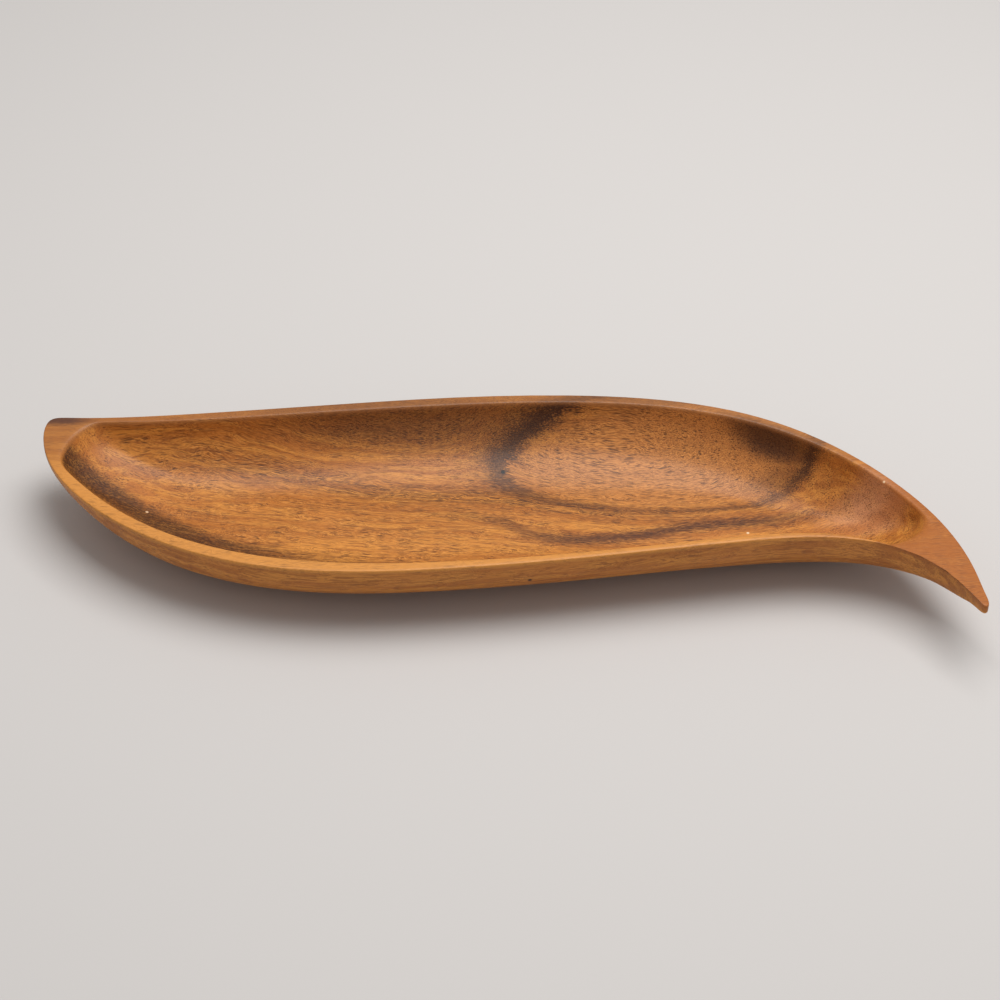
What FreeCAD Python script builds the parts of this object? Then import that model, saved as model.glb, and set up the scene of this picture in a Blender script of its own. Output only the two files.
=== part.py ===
import FreeCAD, Part
import math
import os

from FreeCAD import Vector

# A leaf-shaped serving tray, carved from one plank of hardwood. The leaf lies along X with its
# blunt end at -X and its stem, a solid curved horn, at +X. It stands on a flat foot at Z = 0, and
# the origin is below the middle of the tray's outline. All sizes are in millimetres.

LENGTH = 540.0  # over both ends of the rim
WIDTH = 190.0  # from the tip of the horn to the far edge of the leaf
HEIGHT = 44.0  # from the foot to the flat top of the rim
RIM_WIDTH = 7.0  # flat top of the rim where it is at its full width
OUTER_EASING = 1.9  # how far the rim's outer edge is sanded round
INNER_EASING = 1.4  # the same for the edge of the hollow

WALL_DEPTH = 10.0  # upright part of the outside, below the rim
HORN_WALL_DEPTH = 6.0  # the same at the tip of the horn
BLUNT_WALL_DEPTH = 2.4  # and at the blunt end
BLUNT_WALL_REACH = 40.0  # over this length of the midrib
BLUNT_WALL_GROWTH = 70.0  # beyond which it grows to WALL_DEPTH over this length
BILGE_RADIUS = 7.5  # with which the outside starts to turn under
BLUNT_BILGE_RADIUS = 2.0  # the same at the blunt end
UNDERSIDE_SLOPE = 0.7  # rise over run of the underside beyond it
FOOT_INSET = 38.0  # from the rim's outer edge in to the flat the tray stands on
FOOT_NOSE_RADIUS = 26.0  # of the rounded ends of that flat

FLOOR_THICKNESS = 10.0  # wood left under the middle of the hollow
FLOOR_HALF_WIDTH = 22.0  # of the level middle of the hollow
BLUNT_NOSE_RADIUS = 11.0  # of the hollow's rounded ends, seen from above
HORN_NOSE_RADIUS = 13.0
BLUNT_NOSE_SOFTNESS = 1.6  # extra easing where the hollow runs out at each end
HORN_NOSE_SOFTNESS = 9.0

# The rim's outline, as control points of a closed curve that runs along the near side from the blunt
# end to the horn and back along the far side. Each holds the place along and across the leaf, as
# shares of half the length and half the width, and the rim's width as a share of RIM_WIDTH.
OUTLINE = [
    (-1.003, 0.660, 1.40),
    (-0.997, 0.505, 1.40),
    (-0.972, 0.285, 1.35),
    (-0.912, 0.035, 1.20),
    (-0.815, -0.235, 1.10),
    (-0.672, -0.495, 1.05),
    (-0.490, -0.668, 1.05),
    (-0.290, -0.715, 1.00),
    (-0.085, -0.672, 0.88),
    (0.120, -0.606, 0.70),
    (0.320, -0.515, 0.60),
    (0.500, -0.436, 0.55),
    (0.640, -0.382, 0.60),
    (0.755, -0.400, 0.75),
    (0.845, -0.485, 0.95),
    (0.910, -0.620, 1.00),
    (0.955, -0.780, 1.00),
    (0.978, -0.930, 1.00),
    (0.988, -1.012, 1.00),
    (1.003, -0.985, 1.00),
    (0.994, -0.870, 1.00),
    (0.985, -0.605, 1.00),
    (0.944, -0.245, 1.00),
    (0.866, 0.124, 0.95),
    (0.742, 0.512, 0.85),
    (0.575, 0.822, 0.78),
    (0.370, 0.975, 0.85),
    (0.140, 1.012, 0.95),
    (-0.100, 0.985, 1.00),
    (-0.340, 0.912, 0.95),
    (-0.570, 0.838, 0.70),
    (-0.760, 0.782, 0.80),
    (-0.890, 0.760, 1.25),
    (-0.956, 0.764, 1.20),
    (-0.994, 0.770, 1.40),
]

# The leaf's midrib, in the same shares, as control points of an open curve that starts beyond the
# blunt end and stops beyond the tip of the horn. The sections of the tray are square to it.
MIDRIB = [
    (-1.130, 0.860),
    (-0.930, 0.560),
    (-0.720, 0.300),
    (-0.450, 0.160),
    (-0.100, 0.150),
    (0.240, 0.200),
    (0.500, 0.190),
    (0.730, 0.020),
    (0.880, -0.330),
    (0.960, -0.760),
    (1.015, -1.250),
]

# Places along the midrib, in millimetres from the leaf's blunt end and back from the tip of its horn
FOOT_FROM_BLUNT_END = 100.0
FOOT_FROM_HORN_TIP = 182.0
FLOOR_FROM_BLUNT_END = 155.0
FLOOR_FROM_HORN_TIP = 185.0
MOUTH_FROM_BLUNT_END = 32.0
MOUTH_FROM_HORN_TIP = 80.0

# The hollow's section, from its edge to the level floor: the share of the way and of the depth
HOLLOW = [
    (0.025, 0.15),
    (0.075, 0.33),
    (0.160, 0.51),
    (0.310, 0.71),
    (0.510, 0.87),
    (0.740, 0.965),
    (0.900, 1.00),
    (1.000, 1.00),
]

STATIONS = 96  # places round the outline at which the wall's section is drawn
UNDERSIDE_RINGS = 8  # rings of the skin between the upright wall and the foot
EVENING_PASSES = 6  # how often neighbouring sections are evened out


def spread_over_leaf(points):
    return [Vector(x * LENGTH / 2, y * WIDTH / 2, 0) for x, y in points]


def closed_curve(poles):
    """A smooth closed curve drawn by its control points."""
    curve = Part.BSplineCurve()
    count = len(poles)
    curve.buildFromPolesMultsKnots(poles, [1] * (count + 1), range(count + 1), True, 3)
    return curve


def open_curve(poles):
    """A smooth curve from the first to the last of its control points."""
    curve = Part.BSplineCurve()
    spans = len(poles) - 3
    mults = [4] + [1] * (spans - 1) + [4]
    curve.buildFromPolesMultsKnots(poles, mults, range(spans + 1), False, 3)
    return curve


midrib = open_curve(spread_over_leaf(MIDRIB))


def straightened(point):
    """Where a point of the plan lies once the midrib is pulled straight along X."""
    place = midrib.parameter(point)
    tangent = midrib.tangent(place)[0]
    away = point - midrib.value(place)
    side = 1 if tangent.x * away.y - tangent.y * away.x > 0 else -1
    return Vector(midrib.length(midrib.FirstParameter, place), side * away.Length, 0)


def bent(point):
    """The reverse: a point of the straight leaf brought back to the curve of the midrib."""
    place = midrib.parameterAtDistance(point.x, midrib.FirstParameter)
    tangent = midrib.tangent(place)[0]
    return midrib.value(place) + Vector(-tangent.y, tangent.x, 0) * point.y + Vector(0, 0, point.z)


def evened(values):
    """The same values round the closed outline, with each drawn towards its neighbours."""
    for _ in range(EVENING_PASSES):
        values = [
            values[i] * 0.5 + (values[i - 1] + values[(i + 1) % len(values)]) * 0.25
            for i in range(len(values))
        ]
    return values


def poles_through(ring):
    """Control points of the closed curve that passes through every point of a ring."""
    count = len(ring)
    poles = list(ring)
    for _ in range(40):
        poles = [
            poles[i] + ring[i] - (poles[i - 1] + poles[i] * 4 + poles[(i + 1) % count]) * (1 / 6)
            for i in range(count)
        ]
    return poles


def rim_stations():
    """Points round the rim's outer edge on the straightened leaf, and the rim's width at each."""
    edge = closed_curve(spread_over_leaf([(x, y) for x, y, _ in OUTLINE]))
    widths = closed_curve([Vector(w * RIM_WIDTH, 0, 0) for _, _, w in OUTLINE])
    steps = [len(OUTLINE) * i / STATIONS for i in range(STATIONS)]
    return [straightened(edge.value(t)) for t in steps], [widths.value(t).x for t in steps]


def half_width(edge, along, side):
    """How far the leaf reaches from its midrib at one place along it, on one side."""
    for start, end in zip(edge, edge[1:] + edge[:1]):
        low, high = min(start.x, end.x), max(start.x, end.x)
        if low <= along <= high and (start.y + end.y) * side >= 0 and high > low:
            share = (along - start.x) / (end.x - start.x)
            return abs(start.y + (end.y - start.y) * share)
    return 0.0


def grown(edge, point, blunt_size, full_size):
    """A size of the outside that is small at the blunt end and grows to its full value."""
    blunt_end = min(station.x for station in edge)
    share = (point.x - blunt_end - BLUNT_WALL_REACH) / BLUNT_WALL_GROWTH
    return blunt_size + (full_size - blunt_size) * min(1.0, max(0.0, share))


def turn_under(edge, point):
    """How far below the upright wall the underside has come at a point inside the outline."""
    near = half_width(edge, point.x, -1) + point.y
    far = half_width(edge, point.x, 1) - point.y
    if near <= 0 or far <= 0:
        return 0.0
    inset = near * far / (near + far)
    bilge_radius = grown(edge, point, BLUNT_BILGE_RADIUS, BILGE_RADIUS)
    return math.sqrt((UNDERSIDE_SLOPE * inset) ** 2 + 2 * bilge_radius * inset)


def brought_in(edge, start, end, half_widths, blunt_nose, horn_nose):
    """The edge's stations brought in to a narrower loop round one stretch of the midrib. Those that
    lie beyond the stretch are spread evenly round a nose at its end."""
    loop = [Vector(p.x, math.copysign(w, p.y), 0) for p, w in zip(edge, half_widths)]
    from_middle = sorted(range(STATIONS), key=lambda i: (i + STATIONS // 2) % STATIONS)
    noses = [
        (start, 90, blunt_nose, [i for i in from_middle if edge[i].x < start]),
        (end, -90, horn_nose, [i for i in range(STATIONS) if edge[i].x > end]),
    ]
    for root, first_angle, length, members in noses:
        sides = [half_widths[members[0] - 1], half_widths[(members[-1] + 1) % STATIONS]]
        for k, i in enumerate(members):
            angle = math.radians(first_angle + 180 * (k + 0.5) / len(members))
            side = sides[2 * k // len(members)]
            loop[i] = Vector(root + length * math.cos(angle), side * math.sin(angle), 0)
    return evened(loop)


def wall_rings():
    """Rings of points round the tray: from the foot up the outside, over the rim and down to the
    floor of the hollow."""
    edge, widths = rim_stations()
    blunt_end = min(point.x for point in edge)
    horn_tip = max(point.x for point in edge)
    mouth_start = blunt_end + MOUTH_FROM_BLUNT_END
    mouth_end = horn_tip - MOUTH_FROM_HORN_TIP

    def softness_at(point):
        if point.x < mouth_start:
            return INNER_EASING + BLUNT_NOSE_SOFTNESS
        if point.x > mouth_end:
            return INNER_EASING + HORN_NOSE_SOFTNESS
        return INNER_EASING

    mouth = brought_in(
        edge,
        mouth_start,
        mouth_end,
        [abs(point.y) - width for point, width in zip(edge, widths)],
        BLUNT_NOSE_RADIUS,
        HORN_NOSE_RADIUS,
    )
    floor = brought_in(
        edge,
        blunt_end + FLOOR_FROM_BLUNT_END,
        horn_tip - FLOOR_FROM_HORN_TIP,
        [FLOOR_HALF_WIDTH] * STATIONS,
        FLOOR_HALF_WIDTH,
        FLOOR_HALF_WIDTH,
    )
    foot = brought_in(
        edge,
        blunt_end + FOOT_FROM_BLUNT_END,
        horn_tip - FOOT_FROM_HORN_TIP,
        [abs(point.y) - FOOT_INSET for point in edge],
        FOOT_NOSE_RADIUS,
        FOOT_NOSE_RADIUS,
    )
    lands = [(point - inner).Length for point, inner in zip(edge, mouth)]
    softness = evened([softness_at(point) for point in edge])

    def wall_depth_at(point):
        in_horn = max(0.0, (point.x - mouth_end) / MOUTH_FROM_HORN_TIP)
        to_horn = (HORN_WALL_DEPTH - WALL_DEPTH) * in_horn
        return grown(edge, point, BLUNT_WALL_DEPTH, WALL_DEPTH) + to_horn

    depths = evened([wall_depth_at(point) for point in edge])

    def ring(starts, ends, shares, heights):
        return [
            bent(start + (end - start) * share + Vector(0, 0, height))
            for start, end, share, height in zip(starts, ends, shares, heights)
        ]

    def level_ring(starts, ends, shares, height):
        return ring(starts, ends, shares, [height] * STATIONS)

    rings = []
    full_turns = evened([turn_under(edge, point) for point in foot])
    for step in range(UNDERSIDE_RINGS, 0, -1):
        share = (step / UNDERSIDE_RINGS) ** 2
        points = [start + (end - start) * share for start, end in zip(edge, foot)]
        turns = evened([turn_under(edge, point) for point in points])
        heights = [
            (HEIGHT - depth) * (1 - turn / full)
            for depth, turn, full in zip(depths, turns, full_turns)
        ]
        rings.append(ring(points, points, [0] * STATIONS, heights))
    rings.append(ring(edge, edge, [0] * STATIONS, [HEIGHT - depth for depth in depths]))
    halfway = [HEIGHT - (depth + OUTER_EASING) / 2 for depth in depths]
    rings.append(ring(edge, edge, [0] * STATIONS, halfway))
    rings += [
        level_ring(edge, mouth, [0] * STATIONS, HEIGHT - OUTER_EASING),
        level_ring(edge, mouth, [0] * STATIONS, HEIGHT),
        level_ring(edge, mouth, [OUTER_EASING / land for land in lands], HEIGHT),
        level_ring(
            edge, mouth, [1 - min(0.5, s / land) for s, land in zip(softness, lands)], HEIGHT
        ),
        level_ring(edge, mouth, [1] * STATIONS, HEIGHT),
    ]
    depth = HEIGHT - FLOOR_THICKNESS
    for share, drop in HOLLOW:
        rings.append(level_ring(mouth, floor, [share] * STATIONS, HEIGHT - depth * drop))
    return rings


def leaf_tray():
    """The whole tray: one skin over all the rings, closed by the flat foot and the flat floor."""
    rings = wall_rings()
    poles = [poles_through(ring) for ring in rings]
    spans = len(rings) - 3
    skin = Part.BSplineSurface()
    skin.buildFromPolesMultsKnots(
        [[row[i] for row in poles] for i in range(STATIONS)],
        [1] * (STATIONS + 1),
        [4] + [1] * (spans - 1) + [4],
        range(STATIONS + 1),
        range(spans + 1),
        True,
        False,
        3,
        3,
    )
    sides = skin.toShape()
    rounds = [edge for edge in sides.Edges if edge.BoundBox.ZLength < 0.001]
    shell = Part.Shell([sides] + [Part.Face(Part.Wire([edge])) for edge in rounds])
    shell.sewShape()
    return Part.Solid(shell)


tray = leaf_tray()
os.makedirs("parts", exist_ok=True)
tray.exportStep("parts/leaf_tray.step")
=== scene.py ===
from math import pi, radians

import bpy
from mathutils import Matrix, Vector

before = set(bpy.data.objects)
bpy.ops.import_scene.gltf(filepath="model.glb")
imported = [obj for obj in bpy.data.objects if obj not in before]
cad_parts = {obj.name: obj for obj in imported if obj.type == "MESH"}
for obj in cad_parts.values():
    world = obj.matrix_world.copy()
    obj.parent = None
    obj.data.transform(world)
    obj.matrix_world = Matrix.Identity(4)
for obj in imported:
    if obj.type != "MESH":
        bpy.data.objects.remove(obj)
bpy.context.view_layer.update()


# The tray. The real one is a single leaf carved from one plank of monkeypod, hollowed with
# a gouge, sanded smooth and sprayed with satin lacquer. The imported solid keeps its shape
# and shows here; this section gives it its wood.

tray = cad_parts["leaf_tray"]
wood = bpy.data.materials.new("lacquered_monkeypod")
wood.use_nodes = True
wood.node_tree.nodes.clear()


def shade(red, green, blue):
    """A shade as the eye reads it, 0 to 255, turned into the light that it gives back."""
    return tuple((part / 255) ** 2.2 for part in (red, green, blue)) + (1,)


def wood_node(kind, *feeds, output=0, **settings):
    """One node of the wood. Each feed, a number, a shade or an output, goes to the next socket."""
    node = wood.node_tree.nodes.new("ShaderNode" + kind)
    for name, value in settings.items():
        setattr(node, name, value)
    for socket, feed in zip([s for s in node.inputs if s.enabled], feeds):
        if isinstance(feed, bpy.types.NodeSocket):
            wood.node_tree.links.new(feed, socket)
        elif feed is not None:
            socket.default_value = feed
    return node.outputs[output]


def add(a, b):
    return wood_node("Math", a, b, operation="ADD")


def less(a, b):
    return wood_node("Math", a, b, operation="SUBTRACT")


def magnitude(a):
    return wood_node("Math", a, operation="ABSOLUTE")


def times(a, b):
    return wood_node("Math", a, b, operation="MULTIPLY")


def larger(a, b):
    return wood_node("Math", a, b, operation="MAXIMUM")


def rising(value, start, end, top=1.0):
    """0 where the value is at start and top where it reaches end, with soft shoulders."""
    return wood_node("MapRange", value, start, end, 0.0, top, interpolation_type="SMOOTHSTEP")


def curve_of(value, *points):
    """A curve through the given points: the value runs from 0 to 1, and so does what comes out."""
    node = wood.node_tree.nodes.new("ShaderNodeFloatCurve")
    line = node.mapping.curves[0]
    line.points[0].location = points[0]
    line.points[1].location = points[-1]
    for point in points[1:-1]:
        line.points.new(*point)
    node.mapping.update()
    wood.node_tree.links.new(value, node.inputs["Value"])
    return node.outputs[0]


def stained(under, over, amount):
    """One shade of wood laid over another by an amount from 0 to 1."""
    node = wood.node_tree.nodes.new("ShaderNodeMix")
    node.data_type = "RGBA"
    for name, feed in (("Factor_Float", amount), ("A_Color", under), ("B_Color", over)):
        socket = next(s for s in node.inputs if s.identifier == name)
        if isinstance(feed, bpy.types.NodeSocket):
            wood.node_tree.links.new(feed, socket)
        else:
            socket.default_value = feed
    return next(s for s in node.outputs if s.identifier == "Result_Color")


def spread(long_mm, wide_mm, deep_mm):
    """A place in the wood, counted in units that long, wide and deep along the grain."""
    squeeze = (1 / long_mm, 1 / wide_mm, 1 / deep_mm)
    return wood_node("VectorMath", grain, squeeze, operation="MULTIPLY")


def clouds(unit_place, broad_strength=2.0, broad_rate=0.5):
    """Soft random clouds from 0 to 1, with most of them near 0.5.

    Fine clouds lie five to a unit. Broad ones lie over them, that many times as strong and
    at that share of the fine ones' rate.
    """
    noise = wood.node_tree.nodes.new("ShaderNodeTexNoise")
    noise.inputs["Scale"].default_value = 5.0
    noise.inputs["Detail"].default_value = 1.0
    noise.inputs["Roughness"].default_value = broad_strength
    noise.inputs["Lacunarity"].default_value = broad_rate
    wood.node_tree.links.new(unit_place, noise.inputs["Vector"])
    return noise.outputs[0]


def uneven(unit_place, broad_strength=2.0, broad_rate=0.5):
    """The same clouds about 0, which push a line or an edge off its true course."""
    return less(clouds(unit_place, broad_strength, broad_rate), 0.5)


def oval(off_x, off_y, half_length, half_width):
    """How far a place lies from the middle of an oval, with 1 on the oval itself."""
    long_way = times(off_x, 1 / half_length)
    short_way = times(off_y, 1 / half_width)
    squares = add(times(long_way, long_way), times(short_way, short_way))
    return wood_node("Math", squares, 0.5, operation="POWER")


# Places in the wood are in millimetres from the table below the middle of the tray.
MM_IN_METRE = 1000.0
here = wood_node("TexCoord", output=3)
place = wood_node("VectorMath", here, (MM_IN_METRE,) * 3, operation="MULTIPLY")
parts = wood.node_tree.nodes.new("ShaderNodeSeparateXYZ")
wood.node_tree.links.new(place, parts.inputs[0])
x, y, z = parts.outputs

# 1 on wood that faces up, which is the hollow and the rim; 0 on the outside and underneath.
facing_up = wood_node("SeparateXYZ", wood_node("TexCoord", output=1), output=2)
open_side = rising(facing_up, 0.0, 0.15)

# The grain runs the length of the leaf. Along the far half it drops from the blunt end
# towards the middle, dips below the heart figure and rises again to the horn.
TRAY_LENGTH = 540.0
share_along = times(add(x, TRAY_LENGTH / 2), 1 / TRAY_LENGTH)
DIP_HEIGHT = 100.0
dip = curve_of(
    share_along,
    (0.00, 0.60), (0.23, 0.57), (0.34, 0.48), (0.50, 0.386), (0.60, 0.28),
    (0.70, 0.245), (0.79, 0.31), (0.90, 0.42), (1.00, 0.46),
)
DIP_MIDDLE = 35.0
DIP_FADE = (-60.0, 15.0)
dip = times(less(times(dip, DIP_HEIGHT), DIP_MIDDLE), rising(y, *DIP_FADE))
SWAY_SIZE = (60, 24, 24)
SWAY_REACH = 6.0
sway_squeeze = tuple(1 / mm for mm in SWAY_SIZE)
sway_place = wood_node("VectorMath", place, sway_squeeze, operation="MULTIPLY")
sway = times(uneven(sway_place, broad_strength=1.5), SWAY_REACH)
across = add(less(y, dip), sway)

# The grain is interlocked: on the far wall it first falls and then rises along the leaf.
RISE_HEIGHT = 50.0
rise = curve_of(
    share_along,
    (0.00, 0.80), (0.13, 0.80), (0.24, 0.48), (0.36, 0.10), (0.42, 0.10),
    (0.52, 0.50), (0.60, 0.62), (0.75, 0.50), (1.00, 0.50),
)
RISE_MIDDLE = 0.45
FAR_WALL = (48.0, 80.0)
rise = times(times(less(rise, RISE_MIDDLE), RISE_HEIGHT), rising(y, *FAR_WALL))
deep = less(add(z, times(sway, 0.6)), rise)
grain = wood_node("CombineXYZ", x, across, deep)

# Golden brown wood: broad growth layers, streaks in them and drifts of redder wood.
layers = clouds(spread(330.0, 15.0, 10.0), broad_strength=3.0)
streaks = clouds(spread(120.0, 2.6, 2.6), broad_strength=3.0, broad_rate=0.6)
drifts = clouds(spread(95.0, 40.0, 30.0))
colour = stained(shade(204, 132, 56), shade(174, 104, 40), rising(layers, 0.36, 0.64))
colour = stained(colour, shade(146, 84, 34), rising(streaks, 0.48, 0.68, 0.7))
colour = stained(colour, shade(188, 114, 50), rising(drifts, 0.42, 0.68, 0.4))

# The heart figure: the gouge cut through a crown of growth layers, which leaves a pale
# oval ringed by the darkest one.
HEART_PLACE = (100.0, 60.0)
HEART_HALF_LENGTH = 98.0
HEART_HALF_WIDTH = 35.0
heart_x = less(x, HEART_PLACE[0])
heart_y = less(y, HEART_PLACE[1])
ragged = uneven(spread(14.0, 1.3, 1.3), broad_rate=0.6)
bulging = uneven(spread(60.0, 18.0, 18.0), broad_strength=1.0)
heart_reach = oval(heart_x, heart_y, HEART_HALF_LENGTH, HEART_HALF_WIDTH)
heart_reach = add(heart_reach, add(times(ragged, 0.3), times(bulging, 0.12)))

# Round the oval from its blunt-end side, by the near side, the horn and the far side: how
# dark the ring is, and how far outwards it fades as a share of the oval.
heart_round = times(heart_y, HEART_HALF_LENGTH / HEART_HALF_WIDTH)
heart_turn = wood_node("Math", heart_round, heart_x, operation="ARCTAN2")
heart_turn = times(add(heart_turn, pi), 1 / (2 * pi))
ring_strength = curve_of(
    heart_turn,
    (0.00, 0.85), (0.06, 0.75), (0.12, 0.62), (0.20, 0.55), (0.30, 0.60), (0.38, 0.65),
    (0.43, 0.95), (0.50, 1.00), (0.56, 0.45), (0.60, 0.25), (0.68, 0.25), (0.74, 0.60),
    (0.79, 1.00), (0.88, 1.00), (0.95, 0.95), (1.00, 0.80),
)
ring_fade = curve_of(
    heart_turn,
    (0.00, 0.22), (0.06, 0.18), (0.12, 0.12), (0.30, 0.10), (0.40, 0.10),
    (0.50, 0.08), (0.70, 0.16), (0.80, 0.26), (1.00, 0.22),
)
past_oval = less(heart_reach, 1.0)
fade_share = wood_node("Math", past_oval, ring_fade, operation="DIVIDE")
ring = times(rising(past_oval, -0.13, -0.01), less(1.0, rising(fade_share, 0.0, 1.0)))
ring = times(ring, ring_strength)
inside_heart = less(1.0, rising(heart_reach, 0.70, 1.0))
colour = stained(colour, shade(190, 122, 64), times(inside_heart, 0.75))


def soft_patch(middle, half_length, half_width, strength, slant=0.0):
    """A stain with streaky edges, drawn from above; slant is mm across for each mm along."""
    off_x = less(x, middle[0])
    off_y = less(less(y, middle[1]), times(off_x, slant))
    reach = oval(off_x, off_y, half_length, half_width)
    return less(strength, rising(add(reach, times(ragged, 0.7)), 0.25, 1.15, strength))


# Darker wood where the gouge came near the next layers: at the far corner of the heart and in a
# band by the near rim. Along the far wall and below the near rim at the blunt end it is darker
# wood with painted shade of the steep inner walls.
far_wall_dark_and_shade = soft_patch((-62.0, 82.0), 125.0, 17.0, strength=0.75)
heart_corner = soft_patch((165.0, 60.0), 34.0, 7.5, strength=0.9, slant=-0.55)
heart_corner = larger(heart_corner, soft_patch((96.0, 88.0), 45.0, 6.0, strength=0.5))
heart_corner = larger(heart_corner, soft_patch((170.0, 45.0), 24.0, 8.0, strength=0.4))

# The middles of the band and of the strip are drawn on a scale of 100 mm across the leaf.
BAND_SCALE = 100.0
near_band = curve_of(
    share_along,
    (0.00, 0.30), (0.30, 0.30), (0.42, 0.25), (0.50, 0.17), (0.57, 0.00),
    (0.62, 0.01), (0.66, 0.04), (0.72, 0.12), (0.81, 0.17), (1.00, 0.17),
)
near_band_strength = curve_of(
    share_along,
    (0.00, 0.0), (0.36, 0.0), (0.46, 0.3), (0.54, 0.7),
    (0.63, 1.0), (0.78, 0.9), (0.86, 0.2), (1.00, 0.0),
)
off_band = magnitude(less(less(y, times(near_band, BAND_SCALE)), times(ragged, 14.0)))
band = times(less(1.0, rising(off_band, 0.5, 8.0)), near_band_strength)

# The strip below the near rim at the blunt end: painted shade of the steep inner wall over darker
# wood.
STRIP_START = -49.0
blunt_strip = curve_of(
    share_along,
    (0.00, 0.95), (0.04, 0.85), (0.09, 0.70), (0.14, 0.53),
    (0.21, 0.36), (0.30, 0.24), (0.40, 0.18), (1.00, 0.18),
)
blunt_strip_strength = curve_of(
    share_along,
    (0.00, 0.9), (0.20, 0.9), (0.30, 0.45), (0.44, 0.15), (0.60, 0.0), (1.00, 0.0),
)
strip_middle = add(times(blunt_strip, BAND_SCALE), STRIP_START)
off_strip = magnitude(less(less(y, strip_middle), times(ragged, 12.0)))
shade_and_dark_strip = times(less(1.0, rising(off_strip, 5.0, 18.0)), blunt_strip_strength)
shade_and_dark_strip = times(shade_and_dark_strip, add(0.75, rising(streaks, 0.38, 0.52, 0.25)))
RIM_EDGE = (41.0, 43.5)
below_rim = times(open_side, less(1.0, rising(z, *RIM_EDGE)))
shade_and_dark_strip = times(shade_and_dark_strip, below_rim)

# The far wall's stain is darker wood with painted shade of the steep wall laid over it.
colour = stained(colour, shade(100, 60, 31), far_wall_dark_and_shade)
# Painted shade and darker wood below the near rim at the blunt end.
colour = stained(colour, shade(50, 27, 12), times(shade_and_dark_strip, 0.95))
colour = stained(colour, shade(62, 36, 24), heart_corner)
colour = stained(colour, shade(84, 45, 26), times(band, 0.92))
colour = stained(colour, shade(50, 28, 19), ring)
# Dark wood together with the painted shade of the far wall and of the blunt-end strip.
dark_wood_and_shade = larger(larger(far_wall_dark_and_shade, ring), larger(larger(band, shade_and_dark_strip), heart_corner))

# Long dark lines that run with the grain, from the far half down to the heart's near side.
sweep_strength = curve_of(
    share_along,
    (0.00, 0.0), (0.15, 0.3), (0.34, 0.8), (0.56, 1.0), (0.66, 0.4), (0.80, 0.2), (1.00, 0.0),
)
SWEEP_MIDDLE = 33.0
off_sweep = magnitude(less(across, SWEEP_MIDDLE))
sweep = times(less(1.0, rising(off_sweep, 2.0, 13.0)), sweep_strength)
lines = clouds(spread(75.0, 0.85, 0.85))
dark_lines = times(rising(lines, 0.48, 0.56), times(sweep, 0.9))
colour = stained(colour, shade(84, 48, 24), dark_lines)

# A painted pinkish sheen of the lacquer where the hollow closes towards the horn, and orange wood
# before it.
painted_pink_sheen = soft_patch((222.0, 8.0), 36.0, 20.0, strength=0.7)
orange_wood = soft_patch((196.0, 1.0), 50.0, 8.0, strength=0.7)
colour = stained(colour, shade(206, 146, 108), painted_pink_sheen)
colour = stained(colour, shade(168, 94, 34), orange_wood)

# The rim: pale gold on the near side, browner on the far side, dark at the blunt tip and
# orange on top of the horn.
RIM_EASING = (40.5, 43.0)
rim_top = rising(z, *RIM_EASING)
near_side = less(1.0, rising(y, 15.0, 50.0))
near_rim_strength = curve_of(
    share_along,
    (0.00, 0.9), (0.75, 0.8), (0.85, 0.4), (0.92, 0.0), (1.00, 0.0),
)
near_rim = times(times(rim_top, near_side), near_rim_strength)
far_rim = times(times(rim_top, less(1.0, near_side)), 0.6)
colour = stained(colour, shade(205, 136, 63), near_rim)
colour = stained(colour, shade(146, 92, 48), far_rim)
blunt_tip = soft_patch((-262.0, 70.0), 24.0, 7.0, strength=0.85)
horn_top = times(times(rising(x, 205.0, 235.0), rim_top), 0.8)
colour = stained(colour, shade(74, 44, 36), blunt_tip)
colour = stained(colour, shade(158, 88, 30), horn_top)

# Fine fibres, dark and pale. They are quieter on the rim, outside and at the blunt end, and
# stronger in the heart, in dark wood and painted shade, and in coarse drifts.
quiet = less(1.0, times(larger(rim_top, less(1.0, open_side)), 0.55))
coarse = rising(clouds(spread(80.0, 26.0, 26.0), broad_strength=1.0), 0.38, 0.62)
coarse = larger(coarse, larger(inside_heart, dark_wood_and_shade))
fibres = clouds(spread(16.0, 0.7, 0.7), broad_strength=0.6)
fibre_strength = times(quiet, add(0.45, times(coarse, 0.55)))
BLUNT_END = (-235.0, -185.0)
fibre_strength = times(fibre_strength, add(0.45, rising(x, *BLUNT_END, 0.55)))
dark_fibres = times(rising(fibres, 0.50, 0.60, 0.62), fibre_strength)
pale_fibre_strength = times(fibre_strength, less(1.0, times(dark_wood_and_shade, 0.7)))
pale_fibres = times(rising(fibres, 0.45, 0.36, 0.36), pale_fibre_strength)
colour = stained(colour, shade(72, 38, 16), dark_fibres)
colour = stained(colour, shade(234, 166, 92), pale_fibres)


# The open vessels, which show as short dark dashes along the grain.
def vessels(length, width, share):
    """Short dashes along the grain: 1 in the middle of a dash, for that share of the vessels."""
    cells = wood.node_tree.nodes.new("ShaderNodeTexVoronoi")
    cells.inputs["Scale"].default_value = 1.0
    wood.node_tree.links.new(spread(length, width, width), cells.inputs["Vector"])
    chance = wood_node("SeparateColor", cells.outputs["Color"])
    dash = less(1.0, rising(cells.outputs["Distance"], 0.18, 0.48))
    return times(dash, rising(chance, 1 - share, 1.1 - share))


dashes = larger(vessels(10.5, 0.85, 0.6), times(vessels(5.5, 0.7, 0.5), 0.6))
dashes = larger(dashes, times(vessels(3.2, 1.2, 0.8), times(dark_wood_and_shade, 0.8)))
dash_strength = times(add(0.7, times(dark_wood_and_shade, 0.25)), quiet)
dash_strength = times(dash_strength, add(0.6, times(coarse, 0.4)))
colour = stained(colour, shade(60, 32, 15), times(dashes, dash_strength))
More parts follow.
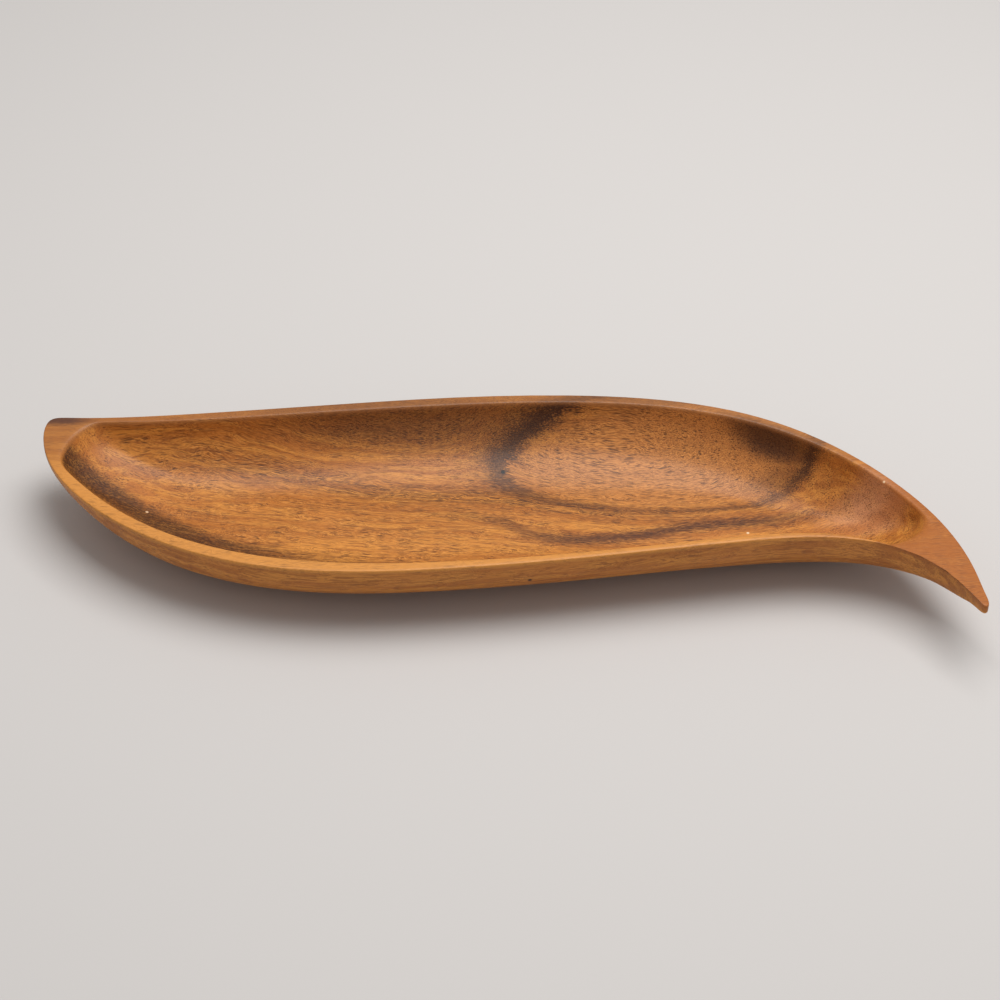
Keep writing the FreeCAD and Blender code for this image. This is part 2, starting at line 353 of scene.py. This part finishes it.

# Small marks of use: a black dot by the heart, pale specks and a nick below the near rim, and one
# painted highlight, a glint of the lamp near the blunt end.
for spot, spot_radius, spot_shade in (
    ((4.1, 58.0, 13.5), 1.7, shade(14, 10, 8)),
    # Painted highlight: a glint of the lamp on the curved hollow near the blunt end.
    ((-206.2, 17.2, 16.3), 1.2, shade(214, 176, 138)),
    ((148.2, 5.6, 10.0), 1.1, shade(228, 196, 156)),
    ((225.5, 12.2, 43.5), 1.0, shade(226, 190, 150)),
    ((19.1, -57.8, 29.9), 1.6, shade(60, 34, 20)),
):
    off_spot = wood_node("VectorMath", place, spot, operation="DISTANCE", output=1)
    colour = stained(colour, spot_shade, less(1.0, rising(off_spot, spot_radius / 2, spot_radius)))

# Satin lacquer, thin enough to let the open vessels be felt.
VESSEL_DEPTH = 0.0003
tray_shader = wood.node_tree.nodes.new("ShaderNodeBsdfPrincipled")
tray_shader.inputs["Roughness"].default_value = 0.5
tray_shader.inputs["Specular IOR Level"].default_value = 0.28
tray_shader.inputs["Coat Weight"].default_value = 0.16
tray_shader.inputs["Coat Roughness"].default_value = 0.26
wood.node_tree.links.new(colour, tray_shader.inputs["Base Color"])
bump = wood.node_tree.nodes.new("ShaderNodeBump")
bump.inputs["Strength"].default_value = 0.25
bump.inputs["Distance"].default_value = VESSEL_DEPTH
wood.node_tree.links.new(times(dashes, -1.0), bump.inputs["Height"])
wood.node_tree.links.new(bump.outputs[0], tray_shader.inputs["Normal"])
surface = wood.node_tree.nodes.new("ShaderNodeOutputMaterial")
wood.node_tree.links.new(tray_shader.outputs[0], surface.inputs["Surface"])
tray.data.materials.clear()
tray.data.materials.append(wood)


# The floor: a plain pale sheet of matt paper that the tray stands on, laid flat and wide
# enough for every view.

FLOOR_WIDTH = 12.0
bpy.ops.mesh.primitive_plane_add(size=FLOOR_WIDTH, location=(0, 0, 0))
floor = bpy.context.object
floor.name = "floor"
floor_paint = bpy.data.materials.new("pale_floor")
floor_paint.use_nodes = True
floor_shader = floor_paint.node_tree.nodes["Principled BSDF"]
floor_shader.inputs["Base Color"].default_value = shade(196, 192, 189)
floor_shader.inputs["Roughness"].default_value = 0.9
floor.data.materials.append(floor_paint)


# The light: one large soft lamp overhead, a little behind the tray and to its right, and a
# pale room all round.

LAMP_PLACE = Vector((0.30, 0.28, 1.65))
LAMP_WIDTH = 1.3
LAMP_WATTS = 29.0

# The lamp faces the table below the middle of the tray.
lamp = bpy.data.lights.new("overhead_lamp", "AREA")
lamp.shape = "SQUARE"
lamp.size = LAMP_WIDTH
lamp.energy = LAMP_WATTS
lamp_holder = bpy.data.objects.new("overhead_lamp", lamp)
lamp_holder.location = LAMP_PLACE
lamp_holder.rotation_euler = LAMP_PLACE.to_track_quat("Z", "Y").to_euler()
bpy.context.scene.collection.objects.link(lamp_holder)
room = bpy.data.worlds.new("room")
room.use_nodes = True
room.node_tree.nodes["Background"].inputs["Color"].default_value = (0.98, 0.97, 0.96, 1)
room.node_tree.nodes["Background"].inputs["Strength"].default_value = 0.45
bpy.context.scene.world = room
bpy.context.scene.view_settings.view_transform = "Standard"


# The camera: in front of the tray and above it, looking 40 degrees down along its width
# through a long lens.

LOOKING_DOWN = 40
camera = bpy.data.objects.new("camera", bpy.data.cameras.new("camera"))
camera.data.sensor_width = 36.0
camera.data.lens = 82.8
camera.location = (0.0023, -1.0189, 0.895)
camera.rotation_euler = (radians(90 - LOOKING_DOWN), 0, 0)
bpy.context.scene.collection.objects.link(camera)
bpy.context.scene.camera = camera
